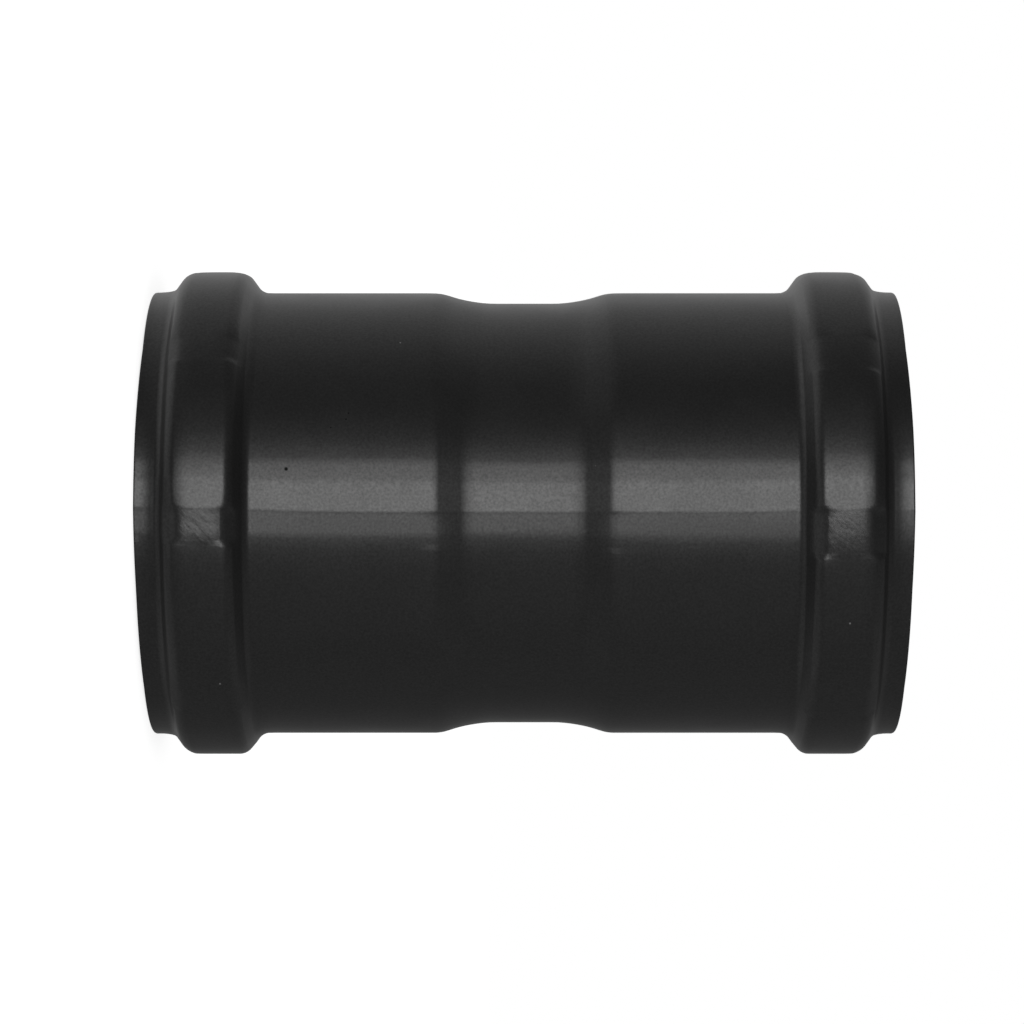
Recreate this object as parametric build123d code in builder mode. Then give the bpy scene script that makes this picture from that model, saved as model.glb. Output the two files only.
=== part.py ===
from build123d import *
from math import tan, radians
import os

# Flue pipe coupling: a formed steel sleeve with a socket at each end and a lip seal in each socket.
# It stands on its lower rim: origin at the centre of that rim, flue axis along +Z, millimetres.

# Sleeve. Radii of bends are those on the inside of the bend.
pipe_diameter = 80.0  # the flue pipe that plugs in, and the outside of the waist
wall = 1.2
overall_length = 140.2
waist_span = 31.6  # between the shoulders of the two sockets
waist_slope = 18.0  # degrees, from the shoulder down to the waist
waist_bend = 25.0
shoulder_bend = 6.0
socket_clearance = 0.8  # pipe to socket wall, on radius
mouth_ease = 0.15  # the collar at the mouth opens this much over the socket, on radius
collar_length = 4.04  # rim to the foot of the bead
rim_land = 2.0  # straight stretch of the collar at the rim
collar_lean = 11.0  # degrees, from that stretch up to the bead
collar_bend = 10.0
rim_edge = 0.2  # rounding of the cut rim

# Bead round each socket
bead_crest = 10.8  # width of the crest, between its corners
bead_height = 4.0  # crest over the socket, on radius
bead_slope = 54.0  # degrees, flanks of the bead
rim_crest_bend = 1.8
socket_crest_bend = 1.4
collar_foot_bend = 1.8
socket_foot_bend = 2.6

# Lip seal in each bead
seal_clearance = 0.15  # seal to the inside of the bead
seal_base = 2.0  # thickness of the ring behind the lips
lip_count = 3
lip_pitch = 4.0
lip_root = 1.4
lip_land = 0.8  # width of the lip where it grips the pipe
lip_lean = 1.2  # how far the lip leans into the socket
lip_bite = 0.5  # lip inside the pipe's surface, on radius
lip_root_bend = 0.4

mid_height = overall_length / 2
mid_plane = Plane.XY.offset(mid_height)
waist_radius = pipe_diameter / 2
socket_radius = waist_radius + socket_clearance + wall
collar_radius = socket_radius + mouth_ease
bead_radius = socket_radius + bead_height

shoulder_height = mid_height + waist_span / 2
waist_end = shoulder_height - (socket_radius - waist_radius) / tan(radians(waist_slope))
land_end = overall_length - rim_land
collar_foot = overall_length - collar_length
foot_radius = collar_radius + (land_end - collar_foot) * tan(radians(collar_lean))
collar_crest = collar_foot - (bead_radius - foot_radius) / tan(radians(bead_slope))
socket_crest = collar_crest - bead_crest
socket_foot = socket_crest - bead_height / tan(radians(bead_slope))

# Upper half of the sleeve: the outer skin from the waist to the rim, thickened inwards and mirrored
with BuildPart() as sleeve:
    with BuildSketch(Plane.XZ):
        with BuildLine():
            FilletPolyline(
                (waist_radius, mid_height),
                (waist_radius, waist_end),
                (socket_radius, shoulder_height),
                (socket_radius, socket_foot),
                (bead_radius, socket_crest),
                (bead_radius, collar_crest),
                (foot_radius, collar_foot),
                (collar_radius, land_end),
                (collar_radius, overall_length),
                radius=[
                    waist_bend,
                    shoulder_bend + wall,
                    socket_foot_bend,
                    socket_crest_bend + wall,
                    rim_crest_bend + wall,
                    collar_foot_bend,
                    collar_bend,
                ],
            )
            offset(amount=wall, side=Side.LEFT)
        make_face()
    revolve(axis=Axis.Z)
    fillet(sleeve.faces().sort_by(Axis.Z)[-1].edges(), rim_edge)
    mirror(about=mid_plane)
sleeve.part.label = "sleeve"

# Upper seal: a ring that fills the bead, with lips that lean into the socket
seal_inset = wall + seal_clearance
corner_shift = seal_inset * tan(radians(bead_slope / 2))
seal_radius = bead_radius - seal_inset
base_radius = seal_radius - seal_base
lip_radius = waist_radius - lip_bite
base_flare = seal_base / tan(radians(bead_slope))
base_top = collar_crest - corner_shift
base_bottom = socket_crest + corner_shift
lip_height = base_radius - lip_radius

with BuildPart() as upper_seal:
    with BuildSketch(Plane.XZ) as seal_section:
        with BuildLine():
            FilletPolyline(
                (base_radius, base_bottom - base_flare),
                (seal_radius, base_bottom),
                (seal_radius, base_top),
                (base_radius, base_top + base_flare),
                radius=[socket_crest_bend - seal_clearance, rim_crest_bend - seal_clearance],
            )
            Line((base_radius, base_top + base_flare), (base_radius, base_bottom - base_flare))
        make_face()
        with Locations((base_radius, (base_top + base_bottom) / 2)):
            with GridLocations(lip_pitch, lip_pitch, 1, lip_count):
                Polygon(
                    (0, lip_root / 2),
                    (0, -lip_root / 2),
                    (-lip_height, -lip_lean - lip_land / 2),
                    (-lip_height, -lip_lean + lip_land / 2),
                    align=None,
                )
        fillet(seal_section.vertices().group_by(Axis.X)[1], lip_root_bend)
    revolve(axis=Axis.Z)
upper_seal.part.label = "upper_seal"

# Lower seal: the same ring, turned over into the lower socket
with BuildPart() as lower_seal:
    mirror(upper_seal.part, about=mid_plane)
lower_seal.part.label = "lower_seal"

os.makedirs("parts", exist_ok=True)
export_step(sleeve.part, "parts/sleeve.step")
export_step(upper_seal.part, "parts/upper_seal.step")
export_step(lower_seal.part, "parts/lower_seal.step")
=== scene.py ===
import bpy
import bmesh
import math
import numpy as np
from mathutils import Matrix, Vector


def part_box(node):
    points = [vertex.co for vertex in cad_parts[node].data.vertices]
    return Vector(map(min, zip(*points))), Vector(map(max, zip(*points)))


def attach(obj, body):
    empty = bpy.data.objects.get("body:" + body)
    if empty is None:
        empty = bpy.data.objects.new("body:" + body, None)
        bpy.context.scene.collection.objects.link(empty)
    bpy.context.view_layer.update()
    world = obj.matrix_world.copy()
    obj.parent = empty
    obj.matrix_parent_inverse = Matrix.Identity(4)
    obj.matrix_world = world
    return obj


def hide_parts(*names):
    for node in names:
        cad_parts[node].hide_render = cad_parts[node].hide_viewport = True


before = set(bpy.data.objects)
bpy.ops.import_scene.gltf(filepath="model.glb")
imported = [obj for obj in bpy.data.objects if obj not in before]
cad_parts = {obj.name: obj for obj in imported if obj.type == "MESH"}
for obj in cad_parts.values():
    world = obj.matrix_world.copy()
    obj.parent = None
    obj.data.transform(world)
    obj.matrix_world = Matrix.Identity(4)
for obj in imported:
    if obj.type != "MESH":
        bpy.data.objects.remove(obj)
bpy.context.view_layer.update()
mm = 0.001
mergeGap = 0.01  # millimetres: verts closer than this are one


def hexColour(code):  # sRGB hex to linear
    parts = [int(code[i:i + 2], 16) / 255 for i in (1, 3, 5)]
    return [c / 12.92 if c <= 0.04045 else ((c + 0.055) / 1.055) ** 2.4 for c in parts] + [1.0]


def addNode(tree, kind, settings, links=None):
    node = tree.nodes.new(kind)
    for key, value in settings.items():
        if isinstance(key, int) or key in node.inputs:
            node.inputs[key].default_value = value
        else:
            setattr(node, key, value)
    for key, source in (links or {}).items():
        tree.links.new(source, node.inputs[key])
    return node


def newMaterial(name):
    material = bpy.data.materials.new(name)
    material.use_nodes = True
    material.node_tree.nodes.clear()
    return material, material.node_tree


def grain(millimetres):  # noise scale whose features are about this far apart
    return 1 / (millimetres * mm)


# Baked enamel on steel sheet: sprayed, so a faint orange peel breaks the satin shine into fine grain
enamel = {
    "black": "#171717",
    "cloud": "#1a1a1a",
    "cloudSize": 9.0,
    "roughness": 0.33,
    "roughnessSpread": 0.05,
    "shine": 0.5,
    "shineSpread": 0.22,
    "ior": 1.5,
    "peelSize": 0.45,  # really about 0.2 mm, drawn coarser so that it shows
    "peelDepth": 0.006,
    "wrinkleSize": 1.0,  # where the sheet bridged the jaws and was not pressed smooth
    "wrinkleLength": 2.2,  # times the size, along the slant
    "wrinkleSlant": 45.0,
    "wrinkleDepth": 0.05,
}

# Wear on the coat, in millimetres: height, across from the middle, radius there and size of each spot
wear = {
    "chips": [
        (27.4, -7.9, 42.0, 0.42),
        (38.0, -16.9, 42.0, 0.2),
        (38.4, -18.0, 42.0, 0.2),
        (35.3, -15.4, 42.0, 0.16),
    ],
    "dust": [
        (82.9, -8.5, 41.3, 0.2),
        (14.9, 31.0, 46.0, 0.2),
        (128.5, 19.8, 46.0, 0.2),
        (47.4, -31.2, 42.0, 0.16),
    ],
    "dustColour": "#6c6c6c",
    "depthShare": 0.4,  # a spot reaches further in than across, so that it meets the surface
}


def wearSpots(tree, place, spots):  # 1 in each spot, 0 elsewhere
    deep = wear["depthShare"]
    eased = addNode(tree, "ShaderNodeVectorMath", {"operation": "MULTIPLY", 1: (1, deep, 1)}, {0: place})
    total = addNode(tree, "ShaderNodeValue", {}).outputs["Value"]
    total.default_value = 0.0
    for height, across, radius, size in spots:
        centre = Vector((across, -deep * math.sqrt(radius ** 2 - across ** 2), height)) * mm
        apart = addNode(
            tree, "ShaderNodeVectorMath", {"operation": "DISTANCE", 1: centre}, {0: eased.outputs["Vector"]}
        )
        spot = addNode(
            tree, "ShaderNodeMapRange",
            {"From Min": size * mm / 2, "From Max": size * mm, "To Min": 1.0, "To Max": 0.0},
            {"Value": apart.outputs["Value"]},
        )
        total = addNode(
            tree, "ShaderNodeMath", {"operation": "ADD"}, {0: total, 1: spot.outputs["Result"]}
        ).outputs["Value"]
    return total


def bakedEnamel():
    material, tree = newMaterial("bakedEnamel")
    place = addNode(tree, "ShaderNodeTexCoord", {}).outputs["Object"]
    cloud = addNode(
        tree, "ShaderNodeTexNoise", {"Scale": grain(enamel["cloudSize"]), "Detail": 3.0}, {"Vector": place}
    )
    colour = addNode(
        tree, "ShaderNodeMix",
        {"data_type": "RGBA", 6: hexColour(enamel["black"]), 7: hexColour(enamel["cloud"])},
        {0: cloud.outputs["Fac"]},
    )
    dull = addNode(
        tree, "ShaderNodeMapRange",
        {
            "To Min": enamel["roughness"] - enamel["roughnessSpread"],
            "To Max": enamel["roughness"] + enamel["roughnessSpread"],
        },
        {"Value": cloud.outputs["Fac"]},
    )
    peel = addNode(
        tree, "ShaderNodeTexNoise", {"Scale": grain(enamel["peelSize"]), "Detail": 1.0}, {"Vector": place}
    )
    shine = addNode(
        tree, "ShaderNodeMapRange",
        {
            "To Min": enamel["shine"] - enamel["shineSpread"],
            "To Max": enamel["shine"] + enamel["shineSpread"],
        },
        {"Value": peel.outputs["Fac"]},
    )
    chipped = addNode(
        tree, "ShaderNodeMix", {"data_type": "FLOAT", 3: 0.0},
        {0: wearSpots(tree, place, wear["chips"]), 2: shine.outputs["Result"]},
    )
    dusty = addNode(
        tree, "ShaderNodeMix", {"data_type": "RGBA", 7: hexColour(wear["dustColour"])},
        {0: wearSpots(tree, place, wear["dust"]), 6: colour.outputs[2]},
    )
    slanted = addNode(
        tree, "ShaderNodeMapping",
        {
            "vector_type": "TEXTURE",
            "Rotation": (0.0, math.radians(enamel["wrinkleSlant"]), 0.0),
            "Scale": (1.0, 1.0, enamel["wrinkleLength"]),
        },
        {"Vector": place},
    )
    wrinkle = addNode(
        tree, "ShaderNodeTexNoise", {"Scale": grain(enamel["wrinkleSize"]), "Detail": 2.0},
        {"Vector": slanted.outputs["Vector"]},
    )
    unpressed = addNode(tree, "ShaderNodeAttribute", {"attribute_name": "unpressed"})
    wrinkled = addNode(
        tree, "ShaderNodeMath", {"operation": "MULTIPLY"},
        {0: wrinkle.outputs["Fac"], 1: unpressed.outputs["Fac"]},
    )
    waves = addNode(
        tree, "ShaderNodeBump", {"Distance": enamel["wrinkleDepth"] * mm},
        {"Height": wrinkled.outputs["Value"]},
    )
    skin = addNode(
        tree, "ShaderNodeBump", {"Distance": enamel["peelDepth"] * mm},
        {"Height": peel.outputs["Fac"], "Normal": waves.outputs["Normal"]},
    )
    shader = addNode(
        tree, "ShaderNodeBsdfPrincipled", {"IOR": enamel["ior"]},
        {
            "Base Color": dusty.outputs[2],
            "Roughness": dull.outputs["Result"],
            "Specular IOR Level": chipped.outputs[0],
            "Normal": skin.outputs["Normal"],
        },
    )
    addNode(tree, "ShaderNodeOutputMaterial", {}, {"Surface": shader.outputs["BSDF"]})
    return material


# Silicone rubber, moulded: dull black with a pale bloom in patches
silicone = {
    "black": "#222223",
    "bloom": "#2e2e2f",
    "bloomSize": 5.0,
    "roughness": 0.62,
    "ior": 1.41,
    "mouldSize": 0.3,
    "mouldDepth": 0.003,
}


def siliconeRubber():
    material, tree = newMaterial("siliconeRubber")
    place = addNode(tree, "ShaderNodeTexCoord", {}).outputs["Object"]
    bloom = addNode(
        tree, "ShaderNodeTexNoise", {"Scale": grain(silicone["bloomSize"]), "Detail": 4.0}, {"Vector": place}
    )
    colour = addNode(
        tree, "ShaderNodeMix",
        {"data_type": "RGBA", 6: hexColour(silicone["black"]), 7: hexColour(silicone["bloom"])},
        {0: bloom.outputs["Fac"]},
    )
    mould = addNode(
        tree, "ShaderNodeTexNoise", {"Scale": grain(silicone["mouldSize"]), "Detail": 2.0}, {"Vector": place}
    )
    skin = addNode(
        tree, "ShaderNodeBump", {"Distance": silicone["mouldDepth"] * mm}, {"Height": mould.outputs["Fac"]}
    )
    shader = addNode(
        tree, "ShaderNodeBsdfPrincipled", {"IOR": silicone["ior"], "Roughness": silicone["roughness"]},
        {"Base Color": colour.outputs[2], "Normal": skin.outputs["Normal"]},
    )
    addNode(tree, "ShaderNodeOutputMaterial", {}, {"Surface": shader.outputs["BSDF"]})
    return material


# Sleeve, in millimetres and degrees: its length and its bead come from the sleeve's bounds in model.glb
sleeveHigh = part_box("sleeve")[1]
sleeve = {
    "length": sleeveHigh.z / mm,
    "beadRadius": sleeveHigh.x / mm,
    "wall": 1.2,
    "waistRadius": 40.0,
    "socketRadius": 42.0,
    "collarRadius": 42.15,
    "waistSpan": 31.6,
    "waistSlope": 18.0,
    "beadCrest": 10.8,
    "beadSlope": 54.0,
    "rimSlope": 54.0,
    "crestRun": 2.4,  # outer part of the crest, which leans a little to the rim
    "crestLean": 1.0,
    "collarLength": 4.04,
    "rimLand": 2.0,
    "collarLean": 11.0,
    "waistBend": 25.0,  # bends are measured on their inside
    "shoulderBend": 6.0,
    "socketFootBend": 2.6,
    "socketCrestBend": 1.4,
    "crestBend": 12.0,
    "rimCrestBend": 1.8,
    "collarFootBend": 1.8,
    "collarBend": 10.0,
    "rimEdge": 0.2,
    "bendStep": 0.35,  # length of one facet round a bend
    "edgeStep": 0.12,  # a loop this close to each bend keeps the runs flat in the light
    "runStep": 1.3,  # longest facet on a straight run
}

# Towards the weld the tool pressed the waist sharper and left the beads' crests leaning to the rim
pressed = {
    "waistSpan": 32.5,
    "waistSlope": 17.0,
    "waistBend": 12.0,
    "shoulderBend": 4.8,
    "beadCrest": 10.9,
    "beadSlope": 56.0,
    "rimSlope": 61.0,
    "crestLean": 10.0,
    "collarLength": 4.58,
    "socketFootBend": 2.0,
    "rimCrestBend": 1.6,
}

# Welded seam along the sheet, ground flush: the sheet's edges stay flat beside it
seam = {
    "bearing": 269.6,  # of the weld line, degrees from +X
    "flats": [  # strips above it: from and to in degrees, flatness, and flatness on the beads
        (0.0, 7.0, 0.9, 0.9),
        (7.0, 12.3, 0.6, 0.0),
    ],
    "lowerAt": [0.0, 35.0, 70.0, 105.0, 140.0],  # the strip below it: height against width and flatness
    "lowerWidth": [6.3, 6.1, 5.7, 6.6, 8.0],
    "lowerFlat": [1.0, 1.0, 1.0, 0.8, 0.3],
    "weldStep": 0.010,  # one edge of the sheet stands this much lower
    "weldWidth": 0.4,
    "driftAt": [0.0, 5.0, 12.0, 20.0, 30.0, 42.0, 110.0, 119.0, 128.0, 139.0],  # height against degrees
    "drift": [1.28, 1.2, 0.92, 0.7, 0.22, 0.0, 0.0, 0.26, 0.6, 0.26],  # that the weld is out of line
    "driftAbove": (9.0, 3.0),  # bearings from the weld between which the drift fades in
    "driftBelow": (-25.0, -14.0),
    "hair": 0.0001,  # degrees, so that verts on the weld count as above it
}

# Marks of the eight-jawed tool that pressed the sockets out: between two jaws the bends stay blunt
jaws = {
    "count": 8,
    "gapAt": [20.0, 120.0],  # height against width of the gap between jaws, degrees
    "gapWidth": [8.0, 10.7],
    "gapMiddle": 8.2,
    "gapEdge": 1.0,
    "gapFacets": 8,
    "gapWeld": [1.4, 0.8],  # the gap's edge at the weld fades over this much to each side
    "softReach": 2.3,  # how far the bends spread where no jaw pressed them
    "softSteps": 9,
    "softBody": 0.6,  # share of that off the beads
    "softAway": 0.5,  # and away from the weld, where the sheet is softer
    "beadFrom": 2.0,  # over the socket, where the bead begins
    "beadTo": 1.0,  # under the crest, where it is whole
    "rimAt": [-75.0, -50.0, -20.0, 0.0, 20.0, 45.0, 65.0, 75.0],  # round from the weld, and how far
    "rimDraw": [0.0, 0.33, 0.28, 0.0, 0.05, 0.33, 0.1, 0.0],  # the rim was drawn in there
    "rimReach": 2.0,
    "pressedTo": (55.0, 75.0),  # how far round from the weld the pressed section fades
    "arcStep": 2.4,
}


def sleeveCorners(shape):  # upper half, waist to rim: radius, height, bend outside, bend inside
    wall = shape["wall"]
    rise = shape["socketRadius"] - shape["waistRadius"]
    flank = math.tan(math.radians(shape["beadSlope"]))
    rimFlank = math.tan(math.radians(shape["rimSlope"]))
    shoulder = (shape["length"] + shape["waistSpan"]) / 2
    waistEnd = shoulder - rise / math.tan(math.radians(shape["waistSlope"]))
    landEnd = shape["length"] - shape["rimLand"]
    collarFoot = shape["length"] - shape["collarLength"]
    footRadius = shape["collarRadius"] + (landEnd - collarFoot) * math.tan(math.radians(shape["collarLean"]))
    collarCrest = collarFoot - (shape["beadRadius"] - footRadius) / rimFlank
    lean = math.tan(math.radians(shape["crestLean"]))
    leanStart = collarCrest - shape["crestRun"]
    leanEnd = (collarCrest * rimFlank - leanStart * lean) / (rimFlank - lean)
    crestRadius = shape["beadRadius"] - (leanEnd - leanStart) * lean
    socketCrest = collarCrest - shape["beadCrest"]
    socketFoot = socketCrest - (shape["beadRadius"] - shape["socketRadius"]) / flank
    return [
        (shape["waistRadius"], waistEnd, shape["waistBend"], shape["waistBend"] + wall),
        (shape["socketRadius"], shoulder, shape["shoulderBend"] + wall, shape["shoulderBend"]),
        (shape["socketRadius"], socketFoot, shape["socketFootBend"], shape["socketFootBend"] + wall),
        (shape["beadRadius"], socketCrest, shape["socketCrestBend"] + wall, shape["socketCrestBend"]),
        (shape["beadRadius"], leanStart, shape["crestBend"] + wall, shape["crestBend"]),
        (crestRadius, leanEnd, shape["rimCrestBend"] + wall, shape["rimCrestBend"]),
        (footRadius, collarFoot, shape["collarFootBend"], shape["collarFootBend"] + wall),
        (shape["collarRadius"], landEnd, shape["collarBend"], shape["collarBend"] + wall),
        (shape["collarRadius"], shape["length"], shape["rimEdge"], shape["rimEdge"]),
    ]


def insetCorners(path, wall):  # the same corners on the inside of the sheet
    inset = []
    for i, (radius, height, bendOut, bendIn) in enumerate(path):
        here = Vector((radius, height))
        runs = [Vector(path[j + 1][:2]) - Vector(path[j][:2]) for j in (i - 1, i) if 0 <= j < len(path) - 1]
        sides = [Vector((-run.y, run.x)).normalized() for run in runs]
        along = sides[0] + sides[-1]
        here += along * wall / (1 + sides[0].dot(sides[-1]))
        inset.append((here.x, here.y, bendIn))
    return inset


# Closed section: straight runs with rounded corners
def bentLoop(bm, corners, bendStep, edgeStep, runStep):
    verts = [bm.verts.new((radius, 0, height)) for radius, height, bend in corners]
    for here, there in zip(verts, verts[1:] + verts[:1]):
        bm.edges.new((here, there))
    for vert, (radius, height, bend) in zip(verts, corners):
        runs = [edge.other_vert(vert).co - vert.co for edge in vert.link_edges]
        turn = math.pi - runs[0].angle(runs[1])
        bmesh.ops.bevel(
            bm, geom=[vert], affect="VERTICES", offset_type="OFFSET", offset=bend * math.tan(turn / 2),
            segments=max(2, round(bend * turn / bendStep)), profile=0.5, material=-1,
        )
    for edge in bm.edges[:]:
        run = edge.calc_length()
        if run > 2 * bendStep:
            near, far = edge.verts
            bmesh.utils.edge_split(edge, near, edgeStep / run)
            bmesh.utils.edge_split(edge, far, edgeStep / (run - edgeStep))
    for edge in bm.edges[:]:
        cuts = int(edge.calc_length() / runStep)
        if cuts:
            bmesh.ops.subdivide_edges(bm, edges=[edge], cuts=cuts)


# Steps round one sector, from a jaw's edge to the next, closer at the marks
def sectorSteps(marks, weld, sector):
    pitch = 360 / marks["count"]
    gapStart = pitch - marks["gapMiddle"]
    near, far = weld["weldWidth"], marks["gapEdge"]
    arcStart = 0.0
    stops = []
    if sector == 0:
        for start, end, *flatness in weld["flats"]:
            stops += [start + near, start + far, (start + end) / 2, end - far, end - near]
            arcStart = end + far
        stops += [arcStart - far + near]
    stops += list(np.linspace(arcStart, gapStart - far, round((gapStart - arcStart) / marks["arcStep"])))
    stops += [gapStart - near, gapStart + near, *np.linspace(gapStart + far, pitch - far, marks["gapFacets"])]
    stops += [pitch - near, pitch]
    return np.diff([0.0] + [stop for stop in stops if stop > 0])


def ramp(value, start, end):
    return min(max((value - start) / (end - start), 0.0), 1.0)


def bentSection(bm, shape):  # the whole section, lower half mirrored, outside and then back up the inside
    upper = sleeveCorners(shape)
    lower = [(radius, shape["length"] - height, *bends) for radius, height, *bends in reversed(upper)]
    path = lower + upper
    outside = [(radius, height, bendOut) for radius, height, bendOut, bendIn in path]
    inside = insetCorners(path, shape["wall"])
    bentLoop(bm, outside + inside[::-1], shape["bendStep"], shape["edgeStep"], shape["runStep"])
    return path


def outerVerts(bm, path, wall):
    radii, heights = zip(*(corner[:2] for corner in path))
    return [
        vert for vert in bm.verts
        if math.hypot(vert.co.x, vert.co.y) > np.interp(vert.co.z, heights, radii) - wall / 2
    ]


def outerProfile(shape):  # heights and radii up the outside
    bm = bmesh.new()
    path = bentSection(bm, shape)
    profile = sorted((vert.co.z, vert.co.x) for vert in outerVerts(bm, path, shape["wall"]))
    bm.free()
    return zip(*profile)


def pressMarks(bm, outer, shape, away, marks, weld):
    pitch = 360 / marks["count"]
    edge = marks["gapEdge"]
    unpressed = bm.verts.layers.float["unpressed"]
    heights, radii = outerProfile(shape)
    awayHeights, awayRadii = outerProfile(away)
    reach = np.linspace(-marks["softReach"], marks["softReach"], marks["softSteps"])
    beadFrom = shape["socketRadius"] + marks["beadFrom"]
    beadTo = shape["beadRadius"] - marks["beadTo"]
    for vert in outer:
        height = vert.co.z
        radius = math.hypot(vert.co.x, vert.co.y)
        bearing = weld["bearing"] - math.degrees(math.atan2(vert.co.y, vert.co.x))
        sector, local = divmod((bearing + weld["hair"]) % 360, pitch)
        width = np.interp(height, marks["gapAt"], marks["gapWidth"])
        gapStart = pitch - marks["gapMiddle"]
        pull = ramp(local, pitch / 2, gapStart) * ramp(local, pitch - edge, gapStart + edge)
        local -= (width - marks["gapMiddle"]) * pull
        bearing = (sector * pitch + local + 180) % 360 - 180
        onBead = ramp(radius, beadFrom, beadTo)
        atWeld = abs(bearing) < pitch / 2
        below = pitch - local if local > pitch / 2 else -local
        fade = np.interp(height, marks["gapAt"], marks["gapWeld"])
        soft = ramp(below, -fade, fade) * ramp(below, width + edge / 2, width - edge / 2)
        soft *= marks["softBody"] + (1 - marks["softBody"]) * onBead
        soft *= 1.0 if atWeld else marks["softAway"]
        blunt = float(np.mean(np.interp(height + reach, heights, radii)))
        radius += min(0.0, blunt - radius) * soft
        apart = np.interp(height, awayHeights, awayRadii) - np.interp(height, heights, radii)
        radius += apart * ramp(abs(bearing), *marks["pressedTo"])
        lower = np.interp(height, weld["lowerAt"], weld["lowerWidth"])
        strips = [(start, end, flat + (crest - flat) * onBead) for start, end, flat, crest in weld["flats"]]
        strips.append((-lower, 0.0, np.interp(height, weld["lowerAt"], weld["lowerFlat"])))
        for start, end, share in strips:
            if start <= bearing <= end:
                half = math.radians(end - start) / 2
                flat = math.cos(half) / math.cos(math.radians(bearing - start) - half)
                radius *= 1 - share * (1 - flat)
        radius -= weld["weldStep"] * ramp(bearing, 0.0, -weld["weldWidth"]) * ramp(bearing, -lower, 0.0)
        drift = np.interp(height, weld["driftAt"], weld["drift"])
        drift *= ramp(bearing, *weld["driftAbove"]) * ramp(bearing, *weld["driftBelow"])
        turned = math.radians(weld["bearing"] - bearing - drift)
        vert.co.x = radius * math.cos(turned)
        vert.co.y = radius * math.sin(turned)
        vert[unpressed] = soft * onBead if atWeld else 0.0
    for vert in bm.verts:
        bearing = (weld["bearing"] - math.degrees(math.atan2(vert.co.y, vert.co.x)) + 180) % 360 - 180
        draw = np.interp(bearing, marks["rimAt"], marks["rimDraw"])
        vert.co.z += draw * ramp(vert.co.z, marks["rimReach"], 0.0)
        vert.co.z -= draw * ramp(vert.co.z, shape["length"] - marks["rimReach"], shape["length"])


def finishPiece(bm, name, material, replaced):
    bmesh.ops.remove_doubles(bm, verts=bm.verts, dist=mergeGap)
    bmesh.ops.recalc_face_normals(bm, faces=bm.faces)
    bmesh.ops.scale(bm, vec=(mm, mm, mm), verts=bm.verts)
    for face in bm.faces:
        face.smooth = True
    mesh = bpy.data.meshes.new(name)
    bm.to_mesh(mesh)
    bm.free()
    mesh.materials.append(material)
    piece = bpy.data.objects.new(name, mesh)
    bpy.context.scene.collection.objects.link(piece)
    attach(piece, "root")
    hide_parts(replaced)
    print(name, len(mesh.polygons), "faces")


def buildSleeve(away, changes, marks, weld, material):
    shape = {**away, **changes}
    bm = bmesh.new()
    bm.verts.layers.float.new("unpressed")
    path = bentSection(bm, shape)
    bmesh.ops.rotate(
        bm, verts=bm.verts, cent=(0, 0, 0), matrix=Matrix.Rotation(math.radians(weld["bearing"]), 3, "Z")
    )
    ring = bm.verts[:] + bm.edges[:]
    for sector in range(marks["count"]):
        for step in sectorSteps(marks, weld, sector):
            turned = bmesh.ops.spin(
                bm, geom=ring, cent=(0, 0, 0), axis=(0, 0, -1), dvec=(0, 0, 0),
                angle=math.radians(step), steps=1,
            )
            ring = turned["geom_last"]
    bmesh.ops.remove_doubles(bm, verts=bm.verts, dist=mergeGap)
    pressMarks(bm, outerVerts(bm, path, shape["wall"]), shape, away, marks, weld)
    finishPiece(bm, "pressedSleeve", material, "sleeve")


# Camera: square to the flue axis, with the axis across the picture
camera = {
    "distance": 0.65,
    "lens": 119.34,
    "sensor": 36.0,
    "shift": (-0.01192, 0.00098),
}


def placeCamera():
    data = bpy.data.cameras.new("camera")
    data.lens = camera["lens"]
    data.sensor_width = camera["sensor"]
    data.shift_x, data.shift_y = camera["shift"]
    eye = bpy.data.objects.new("camera", data)
    eye.location = (0, -camera["distance"], sleeveHigh.z / 2)
    eye.rotation_euler = (math.radians(90), math.radians(-90), 0)
    bpy.context.scene.collection.objects.link(eye)
    bpy.context.scene.camera = eye


# Studio: a softbox beside the camera, dim walls round it that only the shine sees, a white backdrop
studio = {
    "softBearing": 9.0,  # degrees from the camera towards -X
    "softDistance": 0.9,
    "softSize": (0.41, 0.69),
    "softLevel": 4.65,
    "room": 0.5,
    "dark": 0.05,
    "walls": [  # bearing, lift, cosines where the wall starts and is full, level
        (140.0, 0.0, 0.35, 1.0, 0.40),
        (145.0, -48.0, 0.6, 0.9, 0.12),
        (88.0, -58.0, 0.85, 0.97, 0.48),
        (80.0, -26.0, 0.85, 0.97, 0.12),
        (32.0, 0.0, 0.9, 1.0, 0.08),
        (9.0, 38.0, 0.85, 0.97, 0.04),
        (-88.0, -58.0, 0.8, 0.95, 0.25),
        (-88.0, 58.0, 0.8, 0.95, 0.14),
        (-50.0, 0.0, 0.35, 0.9, 0.125),
        (-45.0, 0.0, 0.85, 1.0, 0.10),
        (-150.0, 0.0, 0.0, 0.9, 0.10),
        (0.0, -62.0, 0.94, 0.99, 0.50),
    ],
    "floorColour": "#bcbcbc",
    "floorLift": 0.82,
    "floorSize": 6.0,
}


def bearingPoint(degrees, distance):  # from the camera's side, turning towards -X
    angle = math.radians(degrees)
    return Vector((-math.sin(angle) * distance, -math.cos(angle) * distance, sleeveHigh.z / 2))


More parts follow.
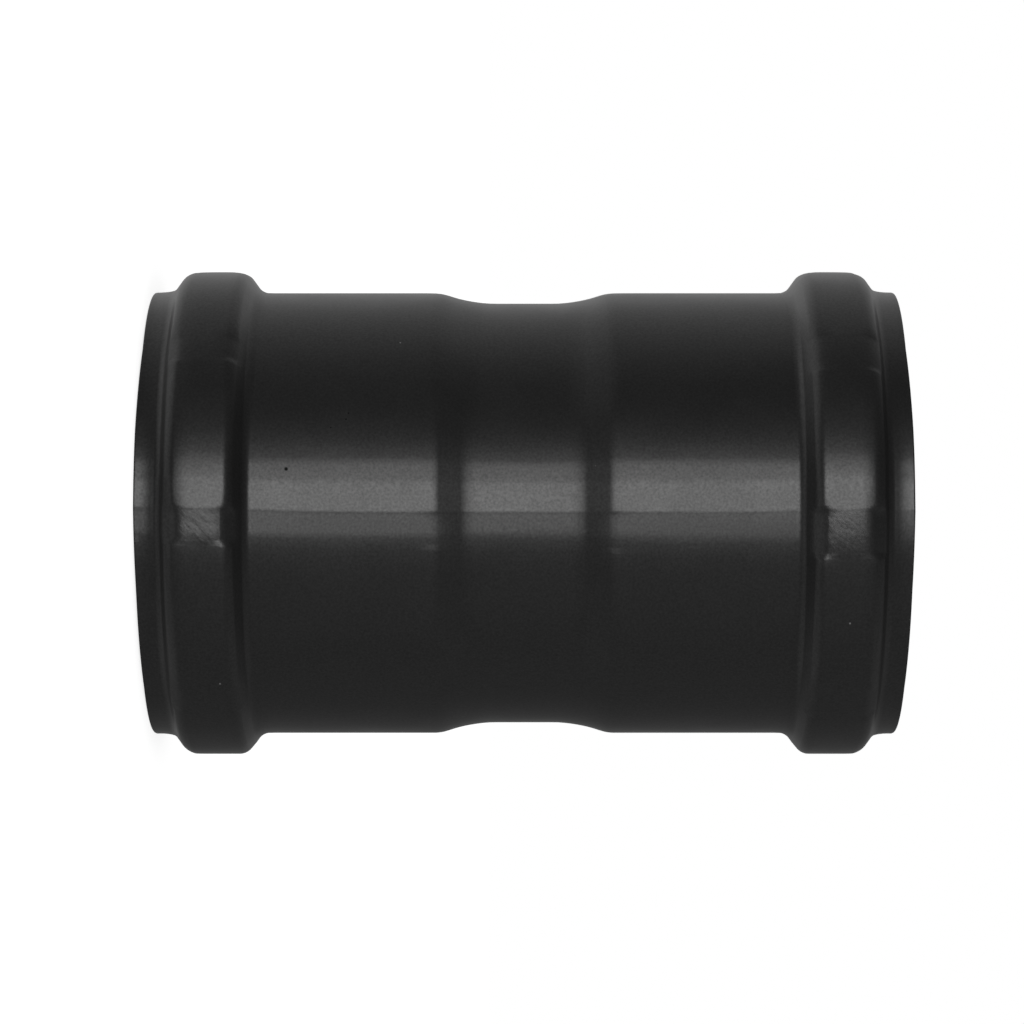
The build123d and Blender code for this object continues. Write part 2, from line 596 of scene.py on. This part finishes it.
def areaLamp(name, bearing, distance, size, level):
    data = bpy.data.lights.new(name, "AREA")
    data.shape = "RECTANGLE"
    data.size, data.size_y = size
    data.energy = level * math.pi * size[0] * size[1]
    lamp = bpy.data.objects.new(name, data)
    lamp.location = bearingPoint(bearing, distance)
    aim = Vector((0, 0, sleeveHigh.z / 2)) - lamp.location
    lamp.rotation_euler = aim.to_track_quat("-Z", "Y").to_euler()
    lamp.visible_camera = False
    bpy.context.scene.collection.objects.link(lamp)


def seenDirectly(tree):  # 1 on rays from the camera, also through something clear
    path = addNode(tree, "ShaderNodeLightPath", {})
    seen = addNode(
        tree, "ShaderNodeMath", {"operation": "ADD", "use_clamp": True},
        {0: path.outputs["Is Camera Ray"], 1: path.outputs["Is Transmission Ray"]},
    )
    return seen.outputs["Value"]


def studioWorld():
    world = bpy.data.worlds.new("studio")
    world.use_nodes = True
    tree = world.node_tree
    tree.nodes.clear()
    path = addNode(tree, "ShaderNodeLightPath", {})
    look = addNode(tree, "ShaderNodeTexCoord", {}).outputs["Generated"]
    around = addNode(tree, "ShaderNodeValue", {}).outputs["Value"]
    around.default_value = studio["dark"]
    for bearing, lift, start, full, strength in studio["walls"]:
        towards = bearingPoint(bearing, math.cos(math.radians(lift)))
        towards.z = math.sin(math.radians(lift))
        facing = addNode(tree, "ShaderNodeVectorMath", {"operation": "DOT_PRODUCT", 1: towards}, {0: look})
        wall = addNode(
            tree, "ShaderNodeMapRange",
            {"interpolation_type": "SMOOTHSTEP", "From Min": start, "From Max": full, "To Max": strength},
            {"Value": facing.outputs["Value"]},
        )
        around = addNode(
            tree, "ShaderNodeMath", {"operation": "ADD"}, {0: around, 1: wall.outputs["Result"]}
        ).outputs["Value"]
    shiny = addNode(
        tree, "ShaderNodeMix", {"data_type": "FLOAT", 2: studio["room"]},
        {0: path.outputs["Is Glossy Ray"], 3: around},
    )
    level = addNode(
        tree, "ShaderNodeMix", {"data_type": "FLOAT", 3: 1.0}, {0: seenDirectly(tree), 2: shiny.outputs[0]}
    )
    light = addNode(tree, "ShaderNodeBackground", {"Color": (1, 1, 1, 1)}, {"Strength": level.outputs[0]})
    addNode(tree, "ShaderNodeOutputWorld", {}, {"Surface": light.outputs["Background"]})
    bpy.context.scene.world = world


def studioFloor():
    material, tree = newMaterial("paleFloor")
    lift = addNode(
        tree, "ShaderNodeMath", {"operation": "MULTIPLY", 1: studio["floorLift"]}, {0: seenDirectly(tree)}
    )
    glow = addNode(tree, "ShaderNodeEmission", {"Color": (1, 1, 1, 1)}, {"Strength": lift.outputs["Value"]})
    matt = addNode(tree, "ShaderNodeBsdfDiffuse", {"Color": hexColour(studio["floorColour"])})
    both = addNode(tree, "ShaderNodeAddShader", {}, {0: matt.outputs["BSDF"], 1: glow.outputs["Emission"]})
    addNode(tree, "ShaderNodeOutputMaterial", {}, {"Surface": both.outputs["Shader"]})
    bm = bmesh.new()
    bmesh.ops.create_grid(bm, x_segments=1, y_segments=1, size=studio["floorSize"])
    mesh = bpy.data.meshes.new("floor")
    bm.to_mesh(mesh)
    bm.free()
    mesh.materials.append(material)
    floor = bpy.data.objects.new("floor", mesh)
    bpy.context.scene.collection.objects.link(floor)
    floor.visible_glossy = False
    floor.visible_shadow = False


coat = bakedEnamel()
rubber = siliconeRubber()
buildSleeve(sleeve, pressed, jaws, seam, coat)
for name in ("lower_seal", "upper_seal"):
    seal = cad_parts[name]
    for slot in seal.material_slots:
        slot.material = rubber
print("seals dressed")

placeCamera()
areaLamp("softbox", studio["softBearing"], studio["softDistance"], studio["softSize"], studio["softLevel"])
studioWorld()
studioFloor()
bpy.context.scene.view_settings.view_transform = "Standard"
print("studio set")
